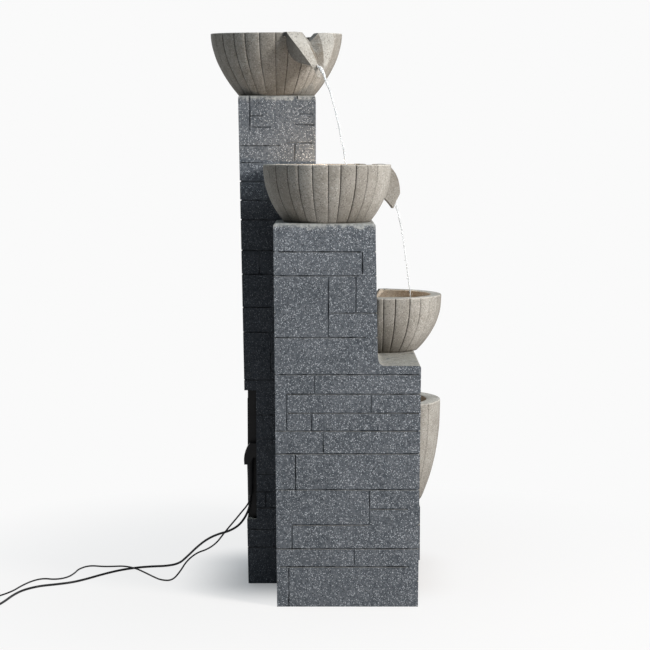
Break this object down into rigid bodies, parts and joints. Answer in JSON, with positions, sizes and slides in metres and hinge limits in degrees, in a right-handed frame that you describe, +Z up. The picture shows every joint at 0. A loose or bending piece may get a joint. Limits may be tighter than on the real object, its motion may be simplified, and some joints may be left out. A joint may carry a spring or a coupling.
{
  "type": "garden wall fountain",
  "caption": "Free-standing garden water feature: stave-pattern bowls with folded spouts step down around hollow stone-look pillars with a pump, lamps and two cords.",
  "frame": {"origin": "on the floor, under the base plate of the stepped pillar", "axes": "+Z up, -Y towards the front of the fountain, -X towards the flank with the stepped pillar"},
  "size_m": [0.6629, 0.9482, 1.001],
  "materials": {
    "dark_stone": "matt, speckled",
    "bowl_stone": "matt, speckled",
    "black_plastic": "satin",
    "black_rubber": "matt",
    "grey_hose": "smooth",
    "steel": "brushed",
    "white_ceramic": "polished",
    "lens": "clear, warm light behind it"
  },
  "bodies": {
    "fountain": {"tall_pillar": "dark_stone", "stepped_pillar": "dark_stone", "front_plinth": "dark_stone", "tall_base": "black_plastic", "stepped_base": "black_plastic", "plinth_base": "black_plastic", "pillar_bolts": "steel", "top_bowl": "bowl_stone", "upper_bowl": "bowl_stone", "lower_bowl": "bowl_stone", "basin_bowl": "bowl_stone", "sump_tub": "black_plastic", "pump_housing": "black_plastic", "impeller_shaft": "white_ceramic", "suction_feet": "black_rubber", "pump_outlet": "black_plastic", "riser_hose": "grey_hose", "hose_clamps": "steel", "bowl_inlet": "black_plastic", "inlet_nut": "black_plastic", "inlet_seal": "black_rubber", "basin_drain": "black_plastic", "drain_nut": "black_plastic", "return_pipe": "grey_hose", "lamp_housing_upper": "black_plastic", "lamp_housing_lower": "black_plastic", "lamp_housing_basin": "black_plastic", "lamp_lens_upper": "lens", "lamp_lens_lower": "lens", "lamp_lens_basin": "lens", "lamp_splitter": "black_plastic", "lamp_cable_upper": "black_rubber", "lamp_cable_lower": "black_rubber", "lamp_cable_basin": "black_rubber", "cord_gland": "black_plastic", "cord_boot": "black_rubber", "pump_lead": "black_rubber", "lamp_lead": "black_rubber", "lamp_cord": "black_rubber", "lamp_cord_coil": "black_rubber", "lamp_adapter": "black_plastic", "pump_cord": "black_rubber", "pump_cord_coil": "black_rubber", "pump_plug": "black_plastic"},
    "impeller": {"impeller": "black_plastic"},
    "flow_knob": {"flow_knob": "black_plastic"},
    "pump_cover": {"pump_cover": "black_plastic"},
    "access_cover": {"access_cover": "black_plastic"},
    "drain_strainer": {"drain_strainer": "black_plastic"}
  },
  "joints": [
    {"name": "impeller_spin", "type": "hinge", "parent": "fountain", "child": "impeller", "pos_m": [0.0605, 0.088, 0.0415], "axis": [1, 0, 0], "continuous": true},
    {"name": "flow_knob_turn", "type": "hinge", "parent": "fountain", "child": "flow_knob", "pos_m": [0.0275, 0.088, 0.0665], "axis": [0, 0, 1], "range_deg": [0, 270]},
    {"name": "pump_cover_slide", "type": "slide", "parent": "fountain", "child": "pump_cover", "axis": [1, 0, 0], "range_m": [0, 0.03]},
    {"name": "access_cover_slide", "type": "slide", "parent": "fountain", "child": "access_cover", "axis": [0, 1, 0], "range_m": [0, 0.06]},
    {"name": "drain_strainer_lift", "type": "slide", "parent": "fountain", "child": "drain_strainer", "axis": [0, 0, 1], "range_m": [0, 0.04]}
  ]
}
